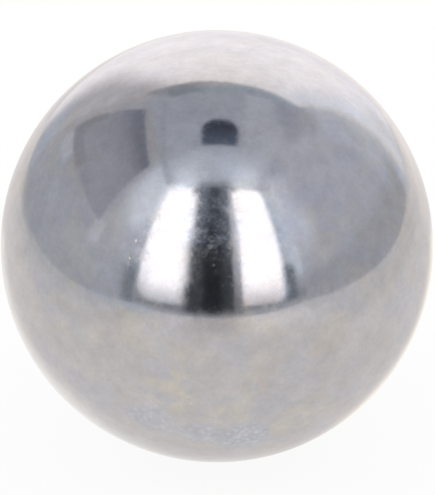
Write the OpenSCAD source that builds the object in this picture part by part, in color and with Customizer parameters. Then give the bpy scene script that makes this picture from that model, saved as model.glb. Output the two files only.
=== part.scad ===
// Steel ball: one solid piece, headed from wire, hardened, ground and lapped until it is round.
// Millimetres, +Z up, with the origin at the centre of the ball.

/* [Ball] */
// Diameter over the lapped surface; 25.4 is the 1 inch standard size
ball_d = 25.4; // [3:0.1:100]

/* [Hidden] */

// Longest straight edge that the preview may show on the ball's outline
preview_edge = 0.4;
// Sides of the preview's great circle, in fours so that it reaches both ends of each axis
preview_sides = 4 * ceil(PI * ball_d / (4 * preview_edge));

// The ball has no flat, hole or seam: every point of it lies half a diameter from the origin.
module ball() {
    color([0.62, 0.615, 0.62])
        sphere(d = ball_d, $fn = preview_sides);
}

ball();
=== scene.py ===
import math

import bpy
import numpy as np
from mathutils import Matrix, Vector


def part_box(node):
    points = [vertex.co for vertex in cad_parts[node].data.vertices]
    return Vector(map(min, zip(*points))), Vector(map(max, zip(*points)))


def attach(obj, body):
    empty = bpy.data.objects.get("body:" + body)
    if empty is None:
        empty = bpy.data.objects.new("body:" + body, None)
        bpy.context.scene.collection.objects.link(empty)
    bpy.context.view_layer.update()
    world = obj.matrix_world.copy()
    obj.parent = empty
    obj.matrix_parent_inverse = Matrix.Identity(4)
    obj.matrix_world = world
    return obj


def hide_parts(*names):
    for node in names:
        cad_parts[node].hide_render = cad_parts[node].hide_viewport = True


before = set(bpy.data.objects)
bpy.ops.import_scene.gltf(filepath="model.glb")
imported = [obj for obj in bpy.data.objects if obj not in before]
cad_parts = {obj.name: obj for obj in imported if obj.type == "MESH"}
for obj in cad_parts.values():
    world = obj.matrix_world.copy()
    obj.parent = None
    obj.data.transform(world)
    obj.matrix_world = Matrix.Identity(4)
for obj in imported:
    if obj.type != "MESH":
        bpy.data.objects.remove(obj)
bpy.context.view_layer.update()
ballLow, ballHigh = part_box("ball")
ballRadius = (ballHigh[2] - ballLow[2]) / 2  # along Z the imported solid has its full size
millimetres = 1000
noiseMiddle = 0.5  # the level that soft noise and random colours lie about
print(f"frame loaded: ball of {2 * ballRadius * millimetres:.2f} mm")


def newMaterial(name):
    # a material with nothing but its output node
    material = bpy.data.materials.new(name)
    material.use_nodes = True
    tree = material.node_tree
    tree.nodes.clear()
    return material, tree, tree.nodes.new("ShaderNodeOutputMaterial")


def feed(tree, socket, value):
    # a node's output is linked, anything else is set on the socket itself
    if isinstance(value, bpy.types.NodeSocket):
        tree.links.new(value, socket)
    elif socket.type == "RGBA":
        socket.default_value = (*value, 1)
    else:
        socket.default_value = value


def maths(tree, operation, *values):
    # one Math node on the values, in their order
    node = tree.nodes.new("ShaderNodeMath")
    node.operation = operation
    for socket, value in zip(node.inputs, values):
        feed(tree, socket, value)
    return node.outputs[0]


def vectors(tree, operation, *values, scale=None):
    # one Vector Math node; its number output for a length or a dot product, else its vector
    node = tree.nodes.new("ShaderNodeVectorMath")
    node.operation = operation
    for socket, value in zip(node.inputs, values):
        feed(tree, socket, value)
    if scale is not None:
        feed(tree, node.inputs["Scale"], scale)
    return node.outputs[1 if operation in ("LENGTH", "DOT_PRODUCT") else 0]


def ramp(tree, value, start, end, low=0.0, high=1.0):
    # low up to start, high from end on, and a smooth S between them; start may be the larger of the two
    node = tree.nodes.new("ShaderNodeMapRange")
    node.interpolation_type = "SMOOTHSTEP"
    if start > end:
        start, end, low, high = end, start, high, low
    settings = {"Value": value, "From Min": start, "From Max": end, "To Min": low, "To Max": high}
    for name, number in settings.items():
        feed(tree, node.inputs[name], number)
    return node.outputs[0]


def blend(tree, share, first, second):
    # first colour where share is 0, second where it is 1
    node = tree.nodes.new("ShaderNodeMix")
    node.data_type = "RGBA"
    feed(tree, node.inputs[0], share)
    feed(tree, node.inputs[6], first)
    feed(tree, node.inputs[7], second)
    return node.outputs[2]


def axisOf(tree, place, axis):
    # one of the three numbers of a place
    split = tree.nodes.new("ShaderNodeSeparateXYZ")
    feed(tree, split.inputs[0], place)
    return split.outputs["xyz".index(axis)]


def noise(tree, place, grain, shift=(0.0, 0.0, 0.0)):
    # soft noise about noiseMiddle; a grain is the size of its lumps, how often they are halved, and how much
    # of its strength each halving keeps
    size, halvings, kept = grain
    node = tree.nodes.new("ShaderNodeTexNoise")
    feed(tree, node.inputs["Vector"], vectors(tree, "ADD", place, shift))
    for name, number in (("Scale", 1 / size), ("Detail", halvings), ("Roughness", kept)):
        feed(tree, node.inputs[name], number)
    return node.outputs[0]


def colourNoise(tree, place, size):
    # three soft noises at once, each about noiseMiddle
    node = tree.nodes.new("ShaderNodeTexNoise")
    feed(tree, node.inputs["Vector"], place)
    feed(tree, node.inputs["Scale"], 1 / size)
    return node.outputs["Color"]


ball = {
    "squares": 124,              # along one edge of the cube that is blown up into the ball
    "waveDepth": 0.35e-6,        # metres; lapping leaves the sphere this uneven
    "waveLength": 2.4e-3,        # metres from crest to crest
    "waveCount": 40,
    "seed": 7,
    "uvMargin": 0.006,
    "mergeDigits": 7,            # decimals to which the corners of two grids agree
}
# Sizes are in metres and places on the ball in ball radii from its centre. A grain is a lump size, how many
# times it is halved, and how much of its strength each halving keeps. A range is the noise level where
# something starts and the one where it is full. A place is a middle, a width in ball radii and a strength.
steel = {
    "colour": (0.622, 0.616, 0.620),
    "cool": (0.597, 0.607, 0.637),      # faint stains of oil and handling
    "warm": (0.639, 0.622, 0.590),
    "stainGrain": (2.6e-3, 4, 0.65),
    "coolRange": (0.56, 0.38),
    "warmRange": (0.48, 0.66),
    "warmShift": (0.1, 0.2, 0.3),
    "stainTop": 0.25,            # what is left of the stains near the top
    "topStart": 0.62,            # heights between which they fade
    "topEnd": 0.90,
    "cloudGrain": (1.3e-3, 5, 0.85),
    "cloudShift": (0.5, 0.1, 0.7),
    "cloudDepth": 0.26,          # how far the grey itself may vary
    "roughness": 0.08,
    "speckGrain": (0.70e-3, 4, 0.75),   # duller specks and the dust of polishing
    "speckRange": (0.47, 0.77),
    "speckRoughness": 0.08,
    "mattGrain": (0.45e-3, 4, 0.85),    # matt dust in the scuffs
    "mattRange": (0.46, 0.68),
    "mattShift": (0.4, 0.3, 0.2),
    "mattDepth": 0.19,           # how much less metallic it is
    "mattColour": (0.560, 0.605, 0.680),
    "matts": (                   # where it lies
        ((-0.015, -0.81, 0.58), 0.36, 1.0),
        ((-0.010, -0.862, 0.507), 0.18, 1.0),
        ((-0.41, -0.80, 0.44), 0.24, 0.8),
        ((-0.38, -0.75, 0.54), 0.20, 0.7),
        ((0.70, 0.10, 0.70), 0.40, 1.0),
        ((0.55, 0.80, 0.25), 0.45, 1.0),
        ((-0.75, 0.60, -0.25), 0.40, 1.0),
    ),
    "flecks": (                  # single specks of it: middle, width and strength
        ((-0.030, -0.867, 0.498), 0.034, 1.0),
        ((0.000, -0.860, 0.510), 0.022, 0.5),
        ((-0.014, -0.905, 0.425), 0.020, 0.5),
        ((-0.133, -0.934, 0.330), 0.024, 0.9),
    ),
    "scuffGrain": (0.80e-3, 4, 0.66),   # the closer specks where the ball has been scuffed
    "scuffRange": (0.42, 0.72),
    "scuffRoughness": 0.165,
    "gritGrain": (0.22e-3, 2, 0.7),     # the finest dull grains, all over
    "gritRange": (0.46, 0.74),
    "gritRoughness": 0.045,
    "scuffs": (                  # middle of each scuff, its width and its strength
        ((-0.01, -0.81, 0.58), 0.40, 0.62),
        ((0.00, -0.87, 0.49), 0.20, 0.75),
        ((-0.13, -0.909, 0.395), 0.20, 0.5),
        ((-0.38, -0.81, 0.45), 0.28, 0.9),
        ((-0.33, -0.76, 0.55), 0.28, 0.8),
        ((0.70, 0.10, 0.70), 0.40, 1.0),
        ((0.55, 0.80, 0.25), 0.45, 1.0),
        ((-0.75, 0.60, -0.25), 0.40, 1.0),
        ((0.20, -0.35, -0.90), 0.40, 1.0),
    ),
    "dusts": (                   # where dust has stuck, mostly low on the ball
        ((-0.312, -0.860, -0.405), 0.30, 0.6),
        ((-0.190, -0.868, -0.459), 0.18, 0.4),
        ((-0.075, -0.868, -0.491), 0.24, 0.6),
        ((0.036, -0.854, -0.519), 0.24, 0.7),
        ((0.140, -0.853, -0.503), 0.26, 0.9),
        ((0.85, 0.30, -0.42), 0.44, 0.6),
        ((-0.60, 0.66, -0.45), 0.50, 0.6),
    ),
    "dustColour": (0.690, 0.737, 0.797),
    "dustHaze": (0.552, 0.577, 0.618),  # the fine dust between the specks
    "dustSize": 0.30e-3,         # spacing of the specks
    "dustWidth": 0.85,           # in spacings
    "dustCore": 0.3,             # the part of that width where a speck is full
    "dustShare": 0.85,
    "dustWander": 1.5,           # how far their outlines wander, in spacings
    "films": (                   # where a thin film of oil has dried yellowish
        ((-0.22, -0.95, -0.21), 0.36, 1.0),
        ((0.10, -0.935, -0.34), 0.36, 0.85),
        ((0.34, -0.83, -0.45), 0.30, 0.85),
        ((0.72, 0.50, -0.48), 0.40, 1.0),
        ((-0.80, 0.45, -0.40), 0.40, 1.0),
    ),
    "filmColour": (0.668, 0.650, 0.592),
    "filmGrain": (1.2e-3, 3, 0.6),
    "filmRange": (0.41, 0.60),
    "wander": 0.45,              # how far the edges of these places wander, in their widths
    "placeReach": 0.5,           # how far from the middle a place ends, in its widths
    "placeFull": 0.25,           # and up to where it is full
    "peelGrain": (0.55e-3, 1, 0.5),     # the orange peel that polishing leaves
    "peelHeight": 0.9e-6,
    "fineGrain": (0.16e-3, 2, 0.7),
    "fineHeight": 0.25e-6,
    "pitSize": 1.5e-3,           # spacing of the tiny pits
    "pitWidth": 0.045,           # in spacings
    "pitDepth": 1.5e-6,
    "scratchSizes": (0.7e-3, 1.3e-3),   # spacing, and nearly the length, of two sets of short hairlines
    "scratchReach": 0.5,         # where a hairline ends, in spacings from its middle
    "scratchFull": 0.25,
    "scratchShare": 0.2,
    "scratchWidth": 0.022e-3,
    "scratchDepth": 0.4e-6,
    "scratchShift": (0.031, 0.017, 0.023),
    "marks": (                   # single nicks: middle, direction, length, width and depth
        ((-0.028, -0.867, 0.498), (1, 0, 0), 0.16e-3, 0.14e-3, 5e-6),
        ((0.023, -0.885, 0.465), (1, 0, 0), 0.15e-3, 0.13e-3, 2.5e-6),
        ((-0.022, -0.827, 0.561), (1, 0, 0), 0.15e-3, 0.14e-3, 3e-6),
        ((0.030, -0.858, 0.513), (0.85, 0.25, 0.45), 0.95e-3, 0.15e-3, 2.6e-6),
        ((-0.360, -0.796, 0.487), (0.2, 0.5, 0.84), 0.36e-3, 0.15e-3, 5e-6),
        ((-0.390, -0.823, 0.414), (0.1, 0.4, 0.90), 0.30e-3, 0.16e-3, 5e-6),
        ((-0.372, -0.760, 0.530), (0.2, 0.5, 0.84), 0.20e-3, 0.12e-3, 4e-6),
        ((0.52, 0.62, 0.58), (0.6, -0.7, 0.2), 0.60e-3, 0.12e-3, 3e-6),
        ((-0.70, 0.25, 0.67), (0.5, 0.8, 0.2), 0.35e-3, 0.12e-3, 3e-6),
        ((0.88, -0.30, 0.36), (0.2, 0.8, 0.5), 0.16e-3, 0.13e-3, 4e-6),
    ),
}


def lappedRadius(direction):
    # ball radius less a shallow relief: a sum of waveCount sine waves that run in random directions through
    # space, each sin(2 pi d.p / waveLength + phase), held within waveDepth under the true sphere
    rng = np.random.default_rng(ball["seed"])
    heading = rng.normal(size=(ball["waveCount"], 3))
    heading /= np.linalg.norm(heading, axis=1, keepdims=True)
    phase = rng.uniform(0, 2 * math.pi, ball["waveCount"])
    turns = direction @ heading.T * (2 * math.pi * ballRadius / ball["waveLength"])
    wave = np.sin(turns + phase).sum(axis=1) / math.sqrt(ball["waveCount"] / 2)
    return ballRadius - ball["waveDepth"] * (1 + np.tanh(wave)) / 2


def cubeBall(count):
    # Six square grids on a cube. u and v are angles from -45 to 45 degrees, and the direction is the unit
    # vector along (tan u, tan v, 1) turned to the grid's side, so the squares are nearly even all over.
    # Points that two grids share are merged, and each direction is then carried out to the lapped radius.
    angle = np.linspace(-math.pi / 4, math.pi / 4, count + 1)
    u, v = np.meshgrid(np.tan(angle), np.tan(angle))
    axes = np.eye(3)
    grids = []
    for side in range(6):
        out = axes[side % 3] * (1 if side < 3 else -1)
        right = axes[(side + 1) % 3]
        up = np.cross(out, right)
        grid = u[..., None] * right + v[..., None] * up + out
        grids.append((grid / np.linalg.norm(grid, axis=-1, keepdims=True)).reshape(-1, 3))
    rounded = np.round(np.concatenate(grids), ball["mergeDigits"])
    merged, index = np.unique(rounded, axis=0, return_inverse=True)
    merged /= np.linalg.norm(merged, axis=1, keepdims=True)
    corner = np.arange(count * (count + 1)).reshape(count, count + 1)[:, :-1].reshape(-1)
    square = np.stack([corner, corner + 1, corner + count + 2, corner + count + 1], axis=1)
    loops = np.concatenate([square + side * (count + 1) ** 2 for side in range(6)])
    return merged * lappedRadius(merged)[:, None], index.reshape(-1)[loops], loops


def ballUv(count):
    # u and v across each side of the cube, laid into one cell of three columns and two rows, less a margin
    margin = ball["uvMargin"]
    cellWidth = 1 / 3
    cellHeight = 1 / 2
    step = np.linspace(0, 1, count + 1)
    across, along = np.meshgrid(step, step)
    cells = []
    for side in range(6):
        u = side % 3 * cellWidth + margin + across * (cellWidth - 2 * margin)
        v = side // 3 * cellHeight + margin + along * (cellHeight - 2 * margin)
        cells.append(np.stack([u, v], axis=-1).reshape(-1, 2))
    return np.concatenate(cells)


def makeBall():
    # the six grids as one closed mesh of squares, with its places for baking
    points, faces, loops = cubeBall(ball["squares"])
    mesh = bpy.data.meshes.new("ball_polished")
    mesh.from_pydata(points.tolist(), [], faces.tolist())
    mesh.polygons.foreach_set("use_smooth", np.ones(len(faces), bool))
    layer = mesh.uv_layers.new(name="OFBake")
    layer.data.foreach_set("uv", ballUv(ball["squares"])[loops.reshape(-1)].reshape(-1))
    mesh.update()
    piece = bpy.data.objects.new("ball_polished", mesh)
    bpy.context.scene.collection.objects.link(piece)
    return piece


def cells(tree, place, size):
    # scattered points, one to a cell: how far the nearest is, its random colour and its place
    node = tree.nodes.new("ShaderNodeTexVoronoi")
    feed(tree, node.inputs["Vector"], place)
    feed(tree, node.inputs["Scale"], 1 / size)
    return node.outputs["Distance"], node.outputs["Color"], node.outputs["Position"]


def pits(tree, place):
    # round dents about scattered points, which are few because most points lie off the surface
    distance, _, _ = cells(tree, place, steel["pitSize"])
    return ramp(tree, distance, steel["pitWidth"], 0.0)


def scratches(tree, place, size, width):
    # A scratch is a thin slab through a scattered point: |d.n| < width, where d is the way from the point and
    # n a random direction, and it fades out where |d| comes to scratchReach. Only a share of the points has
    # one.
    place = vectors(tree, "ADD", place, steel["scratchShift"])
    _, tint, centre = cells(tree, place, size)
    away = vectors(tree, "SUBTRACT", place, centre)
    heading = vectors(tree, "NORMALIZE", vectors(tree, "SUBTRACT", tint, [noiseMiddle] * 3))
    across = maths(tree, "ABSOLUTE", vectors(tree, "DOT_PRODUCT", away, heading))
    line = ramp(tree, across, width, 0.0)
    reach = vectors(tree, "LENGTH", away)
    ends = ramp(tree, reach, size * steel["scratchReach"], size * steel["scratchFull"])
    chosen = maths(tree, "LESS_THAN", axisOf(tree, tint, "x"), steel["scratchShare"])
    return maths(tree, "MULTIPLY", maths(tree, "MULTIPLY", line, ends), chosen)


def marks(tree, place):
    # A nick is a long dent: with d the way from its middle and h its direction, the height rises from minus
    # its depth to 0 as |(2 d.h / length, 2 |d - (d.h) h| / width)| goes from 0 to 1.
    total = 0.0
    for middle, direction, length, width, depth in steel["marks"]:
        heading = np.array(direction) / np.linalg.norm(direction)
        away = vectors(tree, "SUBTRACT", place, [c * ballRadius for c in middle])
        along = vectors(tree, "DOT_PRODUCT", away, heading)
        squash = vectors(tree, "SCALE", heading, scale=maths(tree, "MULTIPLY", along, 1 - width / length))
        reach = vectors(tree, "LENGTH", vectors(tree, "SUBTRACT", away, squash))
        total = maths(tree, "MINIMUM", total, ramp(tree, reach, width / 2, 0.0, 0.0, -depth))
    return total


def spots(tree, place, places):
    # full strength up to placeFull and 0 from placeReach on, with an edge that wanders with the noise
    wobble = noise(tree, place, steel["stainGrain"])
    total = 0.0
    for middle, width, strength in places:
        size = width * ballRadius
        away = vectors(tree, "SUBTRACT", place, [c * ballRadius for c in middle])
        distance = vectors(tree, "LENGTH", away)
        sway = maths(tree, "SUBTRACT", wobble, noiseMiddle)
        spread = maths(tree, "MULTIPLY_ADD", sway, size * steel["wander"], distance)
        spot = ramp(tree, spread, size * steel["placeReach"], size * steel["placeFull"], 0.0, strength)
        total = maths(tree, "MAXIMUM", total, spot)
    return total


def dust(tree, place):
    # specks about a share of scattered points, full in the core and nothing at dustWidth, each with its own
    # strength; noise moves the places about first, which makes their outlines uneven
    size = steel["dustSize"]
    sway = vectors(tree, "SUBTRACT", colourNoise(tree, place, size), [noiseMiddle] * 3)
    place = vectors(tree, "ADD", place, vectors(tree, "SCALE", sway, scale=size * steel["dustWander"]))
    distance, tint, _ = cells(tree, place, size)
    speck = ramp(tree, distance, steel["dustWidth"], steel["dustCore"] * steel["dustWidth"])
    chosen = maths(tree, "LESS_THAN", axisOf(tree, tint, "x"), steel["dustShare"])
    strength = maths(tree, "MULTIPLY", axisOf(tree, tint, "y"), chosen)
    return maths(tree, "MULTIPLY", speck, strength)


def mattDust(tree, place):
    # noise held to the places where it lies, and the single flecks
    matt = ramp(tree, noise(tree, place, steel["mattGrain"], steel["mattShift"]), *steel["mattRange"])
    matt = maths(tree, "MULTIPLY", matt, spots(tree, place, steel["matts"]))
    return maths(tree, "MAXIMUM", matt, spots(tree, place, steel["flecks"]))


def steelColour(tree, place, matt):
    # grey steel with cool and warm stains, dried oil and dust in places, and a fine unevenness over it all
    cool = ramp(tree, noise(tree, place, steel["stainGrain"]), *steel["coolRange"])
    warm = ramp(tree, noise(tree, place, steel["stainGrain"], steel["warmShift"]), *steel["warmRange"])
    height = axisOf(tree, place, "z")
    start = steel["topStart"] * ballRadius
    end = steel["topEnd"] * ballRadius
    amount = ramp(tree, height, start, end, 1.0, steel["stainTop"])
    colour = blend(tree, maths(tree, "MULTIPLY", cool, amount), steel["colour"], steel["cool"])
    colour = blend(tree, maths(tree, "MULTIPLY", warm, amount), colour, steel["warm"])
    film = ramp(tree, noise(tree, place, steel["filmGrain"], steel["warmShift"]), *steel["filmRange"])
    film = maths(tree, "MULTIPLY", film, spots(tree, place, steel["films"]))
    colour = blend(tree, film, colour, steel["filmColour"])
    dusty = spots(tree, place, steel["dusts"])
    colour = blend(tree, dusty, colour, steel["dustHaze"])
    colour = blend(tree, maths(tree, "MULTIPLY", dust(tree, place), dusty), colour, steel["dustColour"])
    colour = blend(tree, matt, colour, steel["mattColour"])
    cloud = noise(tree, place, steel["cloudGrain"], steel["cloudShift"])
    shade = maths(tree, "MULTIPLY_ADD", cloud, steel["cloudDepth"] * 2, 1 - steel["cloudDepth"])
    return vectors(tree, "SCALE", colour, scale=shade)


def steelRoughness(tree, place):
    # even polish, duller specks all over and closer ones in the scuffs
    speck = ramp(tree, noise(tree, place, steel["speckGrain"]), *steel["speckRange"])
    dull = maths(tree, "MULTIPLY", speck, steel["speckRoughness"])
    grit = ramp(tree, noise(tree, place, steel["gritGrain"]), *steel["gritRange"])
    grit = maths(tree, "MULTIPLY_ADD", grit, steel["gritRoughness"], steel["roughness"])
    close = ramp(tree, noise(tree, place, steel["scuffGrain"]), *steel["scuffRange"])
    close = maths(tree, "MULTIPLY", close, spots(tree, place, steel["scuffs"]))
    close = maths(tree, "MULTIPLY", close, steel["scuffRoughness"])
    return maths(tree, "ADD", maths(tree, "MAXIMUM", dull, close), grit)


def steelHeight(tree, place):
    # orange peel and fine grain, less the depth of pits, nicks and hairlines
    height = maths(tree, "MULTIPLY", noise(tree, place, steel["peelGrain"]), steel["peelHeight"])
    height = maths(tree, "MULTIPLY_ADD", noise(tree, place, steel["fineGrain"]), steel["fineHeight"], height)
    height = maths(tree, "MULTIPLY_ADD", pits(tree, place), -steel["pitDepth"], height)
    height = maths(tree, "ADD", marks(tree, place), height)
    for size in steel["scratchSizes"]:
        line = scratches(tree, place, size, steel["scratchWidth"])
        height = maths(tree, "MULTIPLY_ADD", line, -steel["scratchDepth"], height)
    return height


def polishedSteel():
    # a metal whose colour, dust, roughness and fine relief come from the functions above
    material, tree, output = newMaterial("polishedSteel")
    place = tree.nodes.new("ShaderNodeTexCoord").outputs["Object"]
    shader = tree.nodes.new("ShaderNodeBsdfPrincipled")
    matt = mattDust(tree, place)
    feed(tree, shader.inputs["Base Color"], steelColour(tree, place, matt))
    feed(tree, shader.inputs["Metallic"], maths(tree, "MULTIPLY_ADD", matt, -steel["mattDepth"], 1))
    feed(tree, shader.inputs["Roughness"], steelRoughness(tree, place))
    bump = tree.nodes.new("ShaderNodeBump")
    bump.inputs["Strength"].default_value = 1
    bump.inputs["Distance"].default_value = 1
    feed(tree, bump.inputs["Height"], steelHeight(tree, place))
    feed(tree, shader.inputs["Normal"], bump.outputs[0])
    tree.links.new(shader.outputs[0], output.inputs[0])
    return material


piece = makeBall()
piece.data.materials.append(polishedSteel())
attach(piece, "root")
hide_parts("ball")
print(f"ball made: {len(piece.data.polygons)} faces")


# The small white light box that the ball lies in, which only its mirror surface sees. All places are in ball
# radii from the ball's centre, X to the right, Y away and Z up. Brightness is linear, and 1 is white.
# Its walls are no lamps: each glows with painted light and shade, the look of a lit studio wall.
lightBox = {
    "x": (-8.1, 9.0),
    "y": (-9.0, 8.4),
    "z": (-1.0, 15.8),
    # the painted light and shade of faint creases in the walls
    "creaseGrain": (2.2, 3, 0.5),
    "creaseRange": (0.3, 0.7),
    "creaseShadingDepth": 0.07,
}
far = 40  # past every wall
anyWhere = (-far, far)


def grey(level, blue=0.0, mauve=0.035):
    # a grey of that brightness; its blue is stronger than its red by the share blue, and its green is weaker
    # than the others by the share mauve
    lift = mauve / 3
    return (level * (1 - blue / 2 + lift), level * (1 - mauve * 2 / 3), level * (1 + blue / 2 + lift))


# Every colour in the walls below is painted light and shade, sent out as a glow.
# Each wall has a ground colour and layers. A layer is a soft-edged patch over those before it: the spans that
# it fills, the radius of its corners, the width of its soft edge, its colour, the share that it covers, where
# it fades along an axis to a second colour, how its edges slant, and where it is cut off along an axis.
front = {
    "ground": grey(0.50, 0.15),
    "layers": [
        # the wall round the panels, pale at the right and along the top, darker at its foot
        {"x": (6.9, far), "z": (1.8, far), "corner": 0.9, "soft": 1.8, "colour": grey(0.77, 0.25)},
        {"x": (-8.1, 7.1), "z": (14.4, far), "corner": 0.5, "soft": 1.0, "colour": grey(0.98, 0.15)},
        {"x": (-far, far), "z": (-2, 0.6), "corner": 0.4, "soft": 0.8, "colour": grey(0.45, 0.12),
         "fade": ("z", -0.85, -0.3), "fadeColour": grey(0.37, 0.14)},
        # the two lit panels
        {"x": (-7.45, 0), "z": (-0.15, far), "corner": 1.3, "soft": 0.7, "slant": ("x", "z", -0.045),
         "colour": grey(0.61, 0.06), "fade": ("z", -0.8, 2.3), "fadeColour": grey(1.74, 0.02)},
        {"x": (4.0, 6.22), "z": (-0.1, 15.1), "corner": 0.9, "soft": 0.6, "slant": ("x", "z", 0.055),
         "colour": grey(1.02, 0.32)},
        {"x": (0, 5.88), "z": (-0.3, 15.2), "corner": 1.1, "soft": 0.7, "slant": ("x", "z", 0.055),
         "colour": grey(0.61, -0.15), "fade": ("z", -0.8, 2.3), "fadeColour": grey(1.73, -0.04)},
        # dim corners at their feet, their inner top corners, and a dark line under each
        {"x": (-far, -6.4), "z": (-far, 3.0), "corner": 1.2, "soft": 2.4, "share": 0.34,
         "colour": grey(0.38, 0.18)},
        {"x": (8.0, far), "z": (3.0, far), "corner": 0.5, "soft": 1.0, "colour": grey(0.79, 0.15)},
        {"x": (6.3, 7.7), "z": (-0.5, 3.1), "corner": 0.6, "soft": 0.9, "colour": grey(0.22, 0.3)},
        {"x": (1.2, 7.6), "z": (-2, 0.05), "corner": 0.1, "soft": 0.2, "slant": ("z", "x", -0.07),
         "colour": grey(0.47, 0.10), "fade": ("z", -0.68, -0.25), "fadeColour": grey(0.29, 0.12)},
        {"x": (-3.7, -2.0), "z": (13.9, far), "corner": 0.6, "soft": 1.0, "colour": grey(0.42, 0.12)},
        {"x": (1.0, 2.9), "z": (14.3, far), "corner": 0.6, "soft": 1.1, "colour": grey(0.45, 0.15)},
        {"x": (-7.7, -1.8), "z": (-2, 0.02), "corner": 0.1, "soft": 0.2, "slant": ("z", "x", 0.045),
         "colour": grey(0.46, 0.12), "fade": ("z", -0.85, -0.45), "fadeColour": grey(0.29, 0.12)},
        # the open slit between them, with the frame strip at its right
        {"x": (-2.45, -0.9), "z": (0.0, 6.0), "corner": 1.0, "soft": 2.0, "colour": grey(0.10, 0.28, 0.05)},
        {"x": (-2.55, -1.3), "z": (-0.62, 1.7), "corner": 0.4, "soft": 0.9, "colour": grey(0.08, 0.28, 0.05)},
        {"x": (-2.12, 0.3), "z": (-0.62, far), "corner": 0.5, "soft": 1.0, "slant": ("x", "z", -0.042),
         "colour": grey(0.065, 0.28, 0.05), "fade": ("z", 1.5, 11), "fadeColour": grey(0.20, 0.36, 0.06)},
        {"x": (-0.9, 1.7), "z": (-0.62, far), "corner": 0.5, "soft": 1.0,
         "colour": grey(0.065, 0.28, 0.05), "fade": ("z", 1.5, 11), "fadeColour": grey(0.18, 0.36, 0.06)},
        {"x": (1.37, 2.03), "z": (-0.7, 15.2), "corner": 0.16, "soft": 0.3, "slant": ("x", "z", 0.006),
         "colour": grey(0.25, 0.10, 0.05), "fade": ("z", -0.5, 5.0), "fadeColour": grey(0.66, 0.11, 0.05)},
        {"x": (0.4, 1.60), "z": (11.2, 15.0), "corner": 0.3, "soft": 0.5, "colour": grey(0.17, 0.36, 0.06)},
        {"x": (-1.15, 0.45), "z": (-0.5, far), "corner": 0.4, "soft": 0.8, "colour": grey(0.026, 0.34, 0.05),
         "fade": ("z", 1.5, 12), "fadeColour": grey(0.085, 0.42, 0.06)},
    ],
}
left = {
    "ground": grey(0.50, 0.12),
    "layers": [
        # the wall, lit at the end near the panels and dark in the corner at its foot
        {"y": (-6.5, 0.2), "z": (0.2, far), "corner": 1.0, "soft": 2.0, "colour": grey(0.535, 0.13)},
        {"y": (-2.0, far), "z": (13.0, far), "corner": 1.0, "soft": 2.0, "colour": grey(0.44, 0.08)},
        {"y": (-far, -3.8), "z": (2.3, far), "corner": 1.0, "soft": 1.8, "colour": grey(0.58, 0.10),
         "fade": ("z", 3.8, 9.5), "fadeColour": grey(0.78, 0.18)},
        {"y": (-7.2, -5.1), "z": (6.0, 13.5), "corner": 0.9, "soft": 1.8, "colour": grey(0.90, 0.17)},
        {"y": (-far, -6.9), "z": (9.2, far), "corner": 0.7, "soft": 1.4, "colour": grey(0.92, 0.18)},
        {"y": (-far, -8.3), "z": (10.2, far), "corner": 0.5, "soft": 1.0, "colour": grey(1.20, 0.15)},
        {"y": (-far, -7.3), "z": (-far, 2.9), "corner": 0.7, "soft": 1.5, "colour": grey(0.28, 0.25)},
        {"y": (6.3, far), "z": (0.8, 9.0), "corner": 1.0, "soft": 1.8, "colour": grey(0.515, 0.04)},
        # ends of the sill under the side window
        {"y": (-3.6, -2.4), "z": (2.0, 3.9), "corner": 0.4, "soft": 0.8, "colour": grey(0.68, 0.10)},
        {"y": (3.9, 6.7), "z": (2.7, 3.9), "corner": 0.4, "soft": 0.8, "colour": grey(0.60, 0.08)},
        # the clear side window
        {"y": (-2.75, 7.0), "z": (3.85, far), "corner": 0.12, "soft": 0.2, "slant": ("z", "y", 0.1),
         "cut": ("z", 13.45, 12.95), "colour": grey(0.41, 0.16, 0.07),
         "fade": ("z", 7.0, 13), "fadeColour": grey(0.235, 0.27, 0.08)},
        {"y": (2.2, 7.0), "z": (3.84, 4.9), "corner": 0.12, "soft": 0.25, "colour": grey(0.365, 0.16, 0.07)},
        {"y": (6.0, 7.1), "z": (4.3, 7.5), "corner": 0.3, "soft": 0.6, "share": 0.8,
         "colour": grey(0.32, 0.12, 0.05)},
    ],
}
right = {
    "ground": grey(0.475, 0.09),
    "layers": [
        # lit at the end near the panels, darker at the top and paler towards the back
        {"y": (-far, 4.0), "z": (1.8, far), "corner": 1.0, "soft": 2.0, "colour": grey(0.565, 0.14, 0.05)},
        {"y": (-far, -5.5), "z": (4.6, far), "corner": 2.0, "soft": 4.0, "colour": grey(0.76, 0.16, 0.05)},
        {"y": (-far, -8.0), "z": (10.0, far), "corner": 1.0, "soft": 2.0, "colour": grey(0.90, 0.15, 0.05)},
        {"y": (1.4, far), "z": (12.2, far), "corner": 1.5, "soft": 3.0, "colour": grey(0.45, 0.20, 0.06)},
        {"y": (3.6, far), "z": (1.4, 9.4), "corner": 1.0, "soft": 2.0, "colour": grey(0.635, 0.18, 0.05)},
        {"y": (7.2, far), "z": (-2, 11.4), "corner": 1.0, "soft": 2.0, "colour": grey(0.70, 0.14)},
    ],
}
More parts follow.
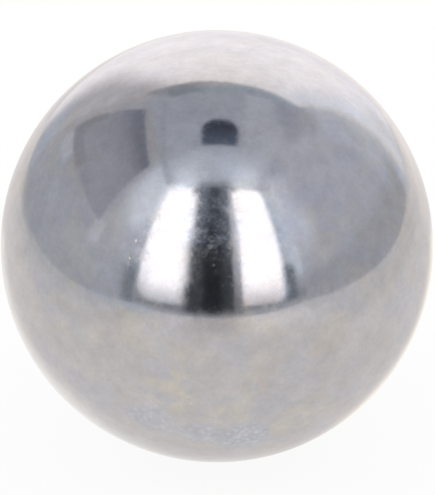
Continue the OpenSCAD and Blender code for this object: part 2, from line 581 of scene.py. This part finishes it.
back = {
    "ground": grey(0.53, 0.0),
    "layers": [
        # the bare wall round the sheet
        {"x": (-far, 0), "z": (-2, 8.0), "corner": 1.0, "soft": 2.0, "colour": grey(0.585, 0.02)},
        {"x": (-far, -5.0), "z": (-2, 2.0), "corner": 0.8, "soft": 1.6, "colour": grey(0.57, 0.16)},
        {"x": (-far, far), "z": (12.2, far), "corner": 0.8, "soft": 1.6, "colour": grey(0.47, 0.20)},
        {"x": (-5.4, far), "z": (12.4, far), "corner": 0.8, "soft": 1.6, "colour": grey(0.32, 0.20, 0.02),
         "fade": ("x", -4, 0.5), "fadeColour": grey(0.46, 0.25, 0.02)},
        # the pale backing sheet
        {"x": (-far, far), "z": (-far, 12.35), "corner": 0.6, "soft": 1.2, "cut": ("x", -5.9, -2.7),
         "colour": grey(1.22, -0.03), "fade": ("z", 6, 11), "fadeColour": grey(1.04, -0.05)},
        {"x": (-far, 4.6), "z": (-far, 0.8), "corner": 1.5, "soft": 3.0, "cut": ("x", -5.9, -2.7),
         "colour": grey(1.05, 0.0)},
        {"x": (6.1, far), "z": (-far, 12.3), "corner": 2.1, "soft": 4.2, "colour": grey(0.98, 0.13)},
        {"x": (4.9, far), "z": (-far, 1.0), "corner": 1.5, "soft": 3.0, "colour": grey(0.88, 0.08)},
        {"x": (8.3, far), "z": (-far, 12.3), "corner": 0.7, "soft": 1.4, "colour": grey(0.79, 0.0)},
        # its slanting top edge
        {"x": (-6.3, 1.6), "z": (11.95, 13.6), "corner": 0.4, "soft": 0.8, "slant": ("z", "x", 0.2),
         "colour": grey(0.35, 0.10, 0.03), "fade": ("x", -4, 0.5), "fadeColour": grey(0.49, 0.04, 0.03)},
    ],
}
ceiling = {
    "ground": grey(0.46, 0.19, 0.05),
    "layers": [
        # pale above each panel with the slit's shade between, a seam at the right and a crease's faint
        # painted shade at left
        {"x": (-6.4, 3.2), "y": (-far, 3.0), "corner": 1.5, "soft": 3.0, "colour": grey(0.49, 0.22, 0.05)},
        {"x": (3.4, far), "y": (-far, far), "corner": 0.6, "soft": 1.2, "colour": grey(0.55, 0.17, 0.05)},
        {"x": (7.2, far), "y": (3.2, far), "corner": 1.0, "soft": 2.0, "colour": grey(0.44, 0.22, 0.07)},
        {"x": (-7.6, 7.4), "y": (-far, -3.1), "corner": 2.0, "soft": 4.0, "colour": grey(0.67, 0.20, 0.04)},
        {"x": (-6.3, -2.5), "y": (-far, -5.7), "corner": 1.8, "soft": 3.6, "colour": grey(0.94, 0.18, 0.03)},
        {"x": (2.4, 5.8), "y": (-far, -5.6), "corner": 1.7, "soft": 3.4, "colour": grey(0.97, 0.17, 0.03)},
        {"x": (-far, -4.9), "y": (-far, -8.1), "corner": 0.7, "soft": 1.4, "colour": grey(1.48, 0.12)},
        {"x": (-2.8, 2.1), "y": (-far, -8.0), "corner": 0.8, "soft": 1.6, "colour": grey(0.33, 0.22)},
        {"x": (7.85, far), "y": (-6.0, 3.4), "corner": 0.3, "soft": 0.6, "colour": grey(0.52, 0.18, 0.05)},
        {"x": (7.6, far), "y": (-far, -6.0), "corner": 0.6, "soft": 1.2, "colour": grey(0.69, 0.16, 0.05)},
        # the painted shade of a faint crease
        {"x": (-7.25, -6.75), "y": (-5, 8), "corner": 0.25, "soft": 0.5, "slant": ("x", "y", 0.1),
         "share": 0.12, "colour": grey(0.0)},
        # the round opening, closed by a straight flap
        {"x": (-1.9, 2.65), "y": (-4.0, 2.45), "corner": 2.1, "soft": 0.45, "cut": ("y", -2.1, -1.65),
         "colour": grey(0.070, 0.50, 0.12), "fade": ("y", 1.5, -1.5), "fadeColour": grey(0.14, 0.58, 0.12)},
    ],
}
boxFloor = {
    "ground": grey(0.75, -0.05, 0.02),
    "layers": [
        # paler towards the back and under the right panel, dimmer at the sides and in the slit's shade
        {"x": (-far, -4.5), "y": (-far, far), "corner": 2.5, "soft": 5.0, "colour": grey(0.62, 0.05, 0.02)},
        {"x": (-far, -5.2), "y": (-far, -4.6), "corner": 1.5, "soft": 3.0, "colour": grey(0.61, 0.25, 0.03)},
        {"x": (5.0, far), "y": (-far, far), "corner": 1.5, "soft": 3.0, "colour": grey(0.67, -0.03, 0.02)},
        {"x": (-5.0, 6.4), "y": (1.7, far), "corner": 2.5, "soft": 5.0, "colour": grey(0.84, -0.07, 0.02)},
        {"x": (-1.1, 3.7), "y": (3.3, far), "corner": 1.8, "soft": 3.6, "colour": grey(0.98, -0.09, 0.02)},
        {"x": (-1.6, 2.6), "y": (7.3, far), "corner": 0.6, "soft": 1.2, "colour": grey(1.06, -0.05, 0.02)},
        {"x": (-far, -2.7), "y": (6.0, far), "corner": 1.5, "soft": 3.0, "colour": grey(0.82, 0.0, 0.02)},
        {"x": (-far, -5.9), "y": (3.0, far), "corner": 1.2, "soft": 2.0, "colour": grey(0.52, 0.06, 0.02)},
        {"x": (4.0, far), "y": (-far, 4.0), "corner": 0.9, "soft": 1.8, "colour": grey(0.69, -0.03, 0.02)},
        {"x": (1.5, 5.2), "y": (-far, -3.8), "corner": 1.5, "soft": 3.0, "colour": grey(0.84, -0.08, 0.02)},
        {"x": (-1.7, 1.1), "y": (-far, -4.6), "corner": 1.1, "soft": 2.2, "colour": grey(0.61, -0.03, 0.03)},
        # painted light: a paler ring close beside the ball
        {"x": (0, 0.97), "y": (-0.1, 2.0), "corner": 0.3, "soft": 0.5, "slant": ("x", "y", 0.5),
         "colour": grey(1.0, -0.14, 0.0)},
        {"x": (-1.2, 0), "y": (-0.35, 2.0), "corner": 0.3, "soft": 0.6, "slant": ("x", "y", -0.5),
         "colour": grey(0.93, -0.05, 0.0)},
    ],
}


def spanCentre(layer, axis):
    # halfway along the layer's span
    low, high = layer.get(axis, anyWhere)
    return (low + high) / 2


def spanHalf(layer, axis):
    # half the length of the layer's span
    low, high = layer.get(axis, anyWhere)
    return (high - low) / 2


def patchShare(tree, place, layer):
    # With q = |p - centre| - (half size - corner) and no part of q below 0, the share is 1 where the length
    # of q is under corner - soft / 2 and 0 where it is over corner + soft / 2.
    if "slant" in layer:
        moved, along, slope = layer["slant"]
        push = [-slope if axis == moved else 0.0 for axis in "xyz"]
        place = vectors(tree, "ADD", place, vectors(tree, "SCALE", push, scale=axisOf(tree, place, along)))
    centre = [spanCentre(layer, axis) for axis in "xyz"]
    away = vectors(tree, "ABSOLUTE", vectors(tree, "SUBTRACT", place, centre))
    inner = [spanHalf(layer, axis) - layer["corner"] for axis in "xyz"]
    past = vectors(tree, "MAXIMUM", vectors(tree, "SUBTRACT", away, inner), (0, 0, 0))
    distance = vectors(tree, "LENGTH", past)
    edge = layer["soft"] / 2
    share = ramp(tree, distance, layer["corner"] + edge, layer["corner"] - edge, 0.0, layer.get("share", 1.0))
    if "cut" in layer:
        axis, start, end = layer["cut"]
        share = maths(tree, "MULTIPLY", share, ramp(tree, axisOf(tree, place, axis), start, end))
    return share


def paintedLight(tree, wall):
    # the ground colour with the layers laid over it in turn, and the painted light and shade of faint creases
    # over it all, all sent out as a glow
    place = tree.nodes.new("ShaderNodeTexCoord").outputs["Object"]
    place = vectors(tree, "SCALE", place, scale=1 / ballRadius)
    colour = wall["ground"]
    for layer in wall["layers"]:
        tint = layer["colour"]
        if "fade" in layer:
            axis, start, end = layer["fade"]
            tint = blend(tree, ramp(tree, axisOf(tree, place, axis), start, end), tint, layer["fadeColour"])
        colour = blend(tree, patchShare(tree, place, layer), colour, tint)
    # painted light and shade of faint creases
    folds = noise(tree, place, lightBox["creaseGrain"])
    depth = lightBox["creaseShadingDepth"] / 2
    crease = ramp(tree, folds, *lightBox["creaseRange"], 1 - depth, 1 + depth)
    glow = tree.nodes.new("ShaderNodeEmission")
    feed(tree, glow.inputs["Color"], vectors(tree, "SCALE", colour, scale=crease))
    return glow.outputs[0]


def makeWall(name, wall, corners):
    # a flat wall through four corners, glowing with its painted light and shade, which only mirrors see
    material, tree, output = newMaterial(name)
    tree.links.new(paintedLight(tree, wall), output.inputs[0])
    mesh = bpy.data.meshes.new(name)
    mesh.from_pydata((np.array(corners) * ballRadius).tolist(), [], [(0, 1, 2, 3)])
    mesh.materials.append(material)
    panel = bpy.data.objects.new(name, mesh)
    bpy.context.scene.collection.objects.link(panel)
    panel.visible_camera = False
    panel.visible_diffuse = False
    panel.visible_shadow = False


def makeLightBox():
    # four walls and a ceiling, each facing the ball; its floor is in the floor's own material
    (x0, x1), (y0, y1), (z0, z1) = lightBox["x"], lightBox["y"], lightBox["z"]
    makeWall("wallFront", front, [(x0, y0, z0), (x0, y0, z1), (x1, y0, z1), (x1, y0, z0)])
    makeWall("wallLeft", left, [(x0, y0, z0), (x0, y1, z0), (x0, y1, z1), (x0, y0, z1)])
    makeWall("wallRight", right, [(x1, y0, z0), (x1, y0, z1), (x1, y1, z1), (x1, y1, z0)])
    makeWall("wallBack", back, [(x0, y1, z0), (x1, y1, z0), (x1, y1, z1), (x0, y1, z1)])
    makeWall("wallCeiling", ceiling, [(x0, y0, z1), (x0, y1, z1), (x1, y1, z1), (x1, y0, z1)])


floorLook = {
    "halfWidth": 4.0,        # metres
    "shadowDepth": 0.10,     # the share of its white that the world lights, which the ball's shadow darkens
}


def makeFloor():
    # the lens sees white with a soft shadow; the ball's mirror surface sees the light box's own floor,
    # glowing with painted light and shade
    material, tree, output = newMaterial("paleFloor")
    path = tree.nodes.new("ShaderNodeLightPath")
    mirrored = maths(tree, "MAXIMUM", path.outputs["Is Glossy Ray"], path.outputs["Is Transmission Ray"])
    share = floorLook["shadowDepth"]
    white = tree.nodes.new("ShaderNodeEmission")
    white.inputs["Strength"].default_value = 1 - share
    matt = tree.nodes.new("ShaderNodeBsdfDiffuse")
    matt.inputs["Color"].default_value = (share, share, share, 1)
    lit = tree.nodes.new("ShaderNodeAddShader")
    tree.links.new(white.outputs[0], lit.inputs[0])
    tree.links.new(matt.outputs[0], lit.inputs[1])
    pick = tree.nodes.new("ShaderNodeMixShader")
    tree.links.new(mirrored, pick.inputs[0])
    tree.links.new(lit.outputs[0], pick.inputs[1])
    tree.links.new(paintedLight(tree, boxFloor), pick.inputs[2])
    tree.links.new(pick.outputs[0], output.inputs[0])
    half = floorLook["halfWidth"]
    z = -ballRadius
    mesh = bpy.data.meshes.new("floor")
    corners = [(-half, -half, z), (half, -half, z), (half, half, z), (-half, half, z)]
    mesh.from_pydata(corners, [], [(0, 1, 2, 3)])
    mesh.materials.append(material)
    floor = bpy.data.objects.new("floor", mesh)
    bpy.context.scene.collection.objects.link(floor)


def makeWorld():
    # even white all round
    world = bpy.data.worlds.new("paleRoom")
    world.use_nodes = True
    background = world.node_tree.nodes["Background"]
    background.inputs["Color"].default_value = (1, 1, 1, 1)
    background.inputs["Strength"].default_value = 1
    bpy.context.scene.world = world


makeLightBox()
makeFloor()
makeWorld()
print("light box, floor and world made")


camera = {
    "distance": 0.4,         # metres from the ball's centre
    "elevation": 30,         # degrees above level
    "frameWidth": 435,
    "frameHeight": 495,
    "ballPixels": 216.2,     # radius of the ball in the frame
    "ballX": 216.8,          # where the ball's centre lies in the frame, from its top left corner
    "ballY": 246.15,
    "sensor": 36,            # millimetres, for the frame's longer side
    "clipStart": 0.01,       # metres
    "clipEnd": 10,
}


def makeCamera():
    # the ball's outline is a cone about the line of sight, whose half angle has the sine radius over distance
    halfAngle = math.asin(ballRadius / camera["distance"])
    perPixel = camera["sensor"] / camera["frameHeight"]
    lens = camera["ballPixels"] * perPixel / math.tan(halfAngle)
    data = bpy.data.cameras.new("camera")
    data.sensor_width = camera["sensor"]
    data.lens = lens
    data.shift_x = (camera["frameWidth"] / 2 - camera["ballX"]) / camera["frameHeight"]
    data.shift_y = (camera["ballY"] - camera["frameHeight"] / 2) / camera["frameHeight"]
    data.clip_start = camera["clipStart"]
    data.clip_end = camera["clipEnd"]
    eye = bpy.data.objects.new("camera", data)
    tilt = math.radians(camera["elevation"])
    eye.location = camera["distance"] * np.array([0, -math.cos(tilt), math.sin(tilt)])
    eye.rotation_euler = (math.pi / 2 - tilt, 0, 0)
    bpy.context.scene.collection.objects.link(eye)
    bpy.context.scene.camera = eye
    print(f"camera made: {lens:.0f} mm lens")


makeCamera()
bpy.context.scene.view_settings.view_transform = "Standard"
